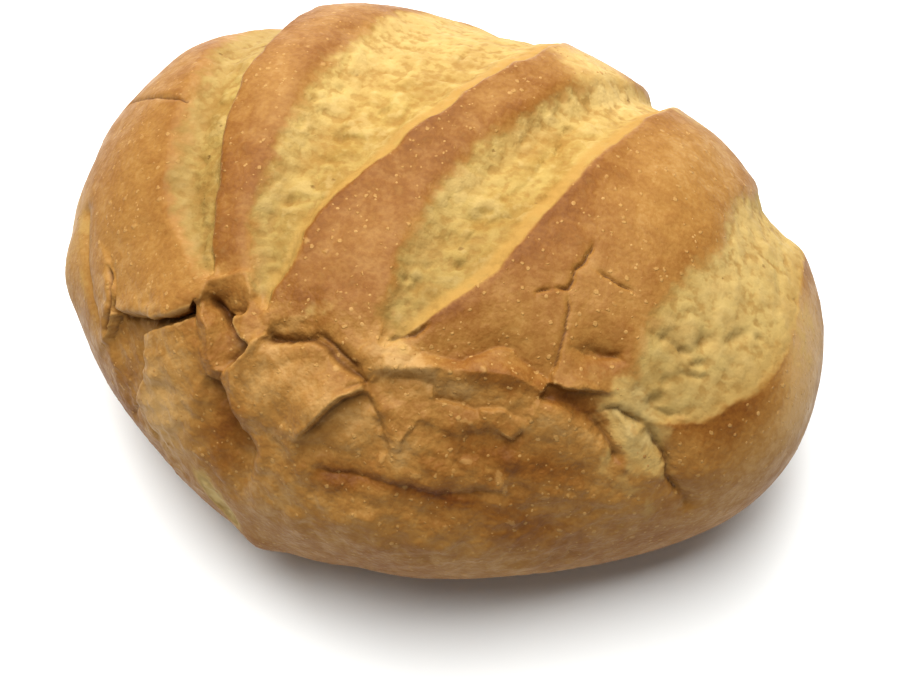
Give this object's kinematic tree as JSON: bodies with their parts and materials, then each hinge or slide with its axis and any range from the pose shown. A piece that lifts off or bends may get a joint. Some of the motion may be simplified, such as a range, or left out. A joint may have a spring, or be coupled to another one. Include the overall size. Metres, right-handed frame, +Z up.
{
  "type": "cob loaf",
  "caption": "Oval domed crusty white loaf, uncut, with slashes opened across its top, a crumpled crust along one long side and a flat base.",
  "frame": {"origin": "under the middle of the loaf, on the surface that it rests on", "axes": "+X along the loaf's length, +Y to the back, away from the crumpled side, +Z up"},
  "size_m": [0.223, 0.1756, 0.0958],
  "materials": {
    "crust": "satin"
  },
  "bodies": {
    "root": {"loaf": "crust"}
  },
  "joints": []
}
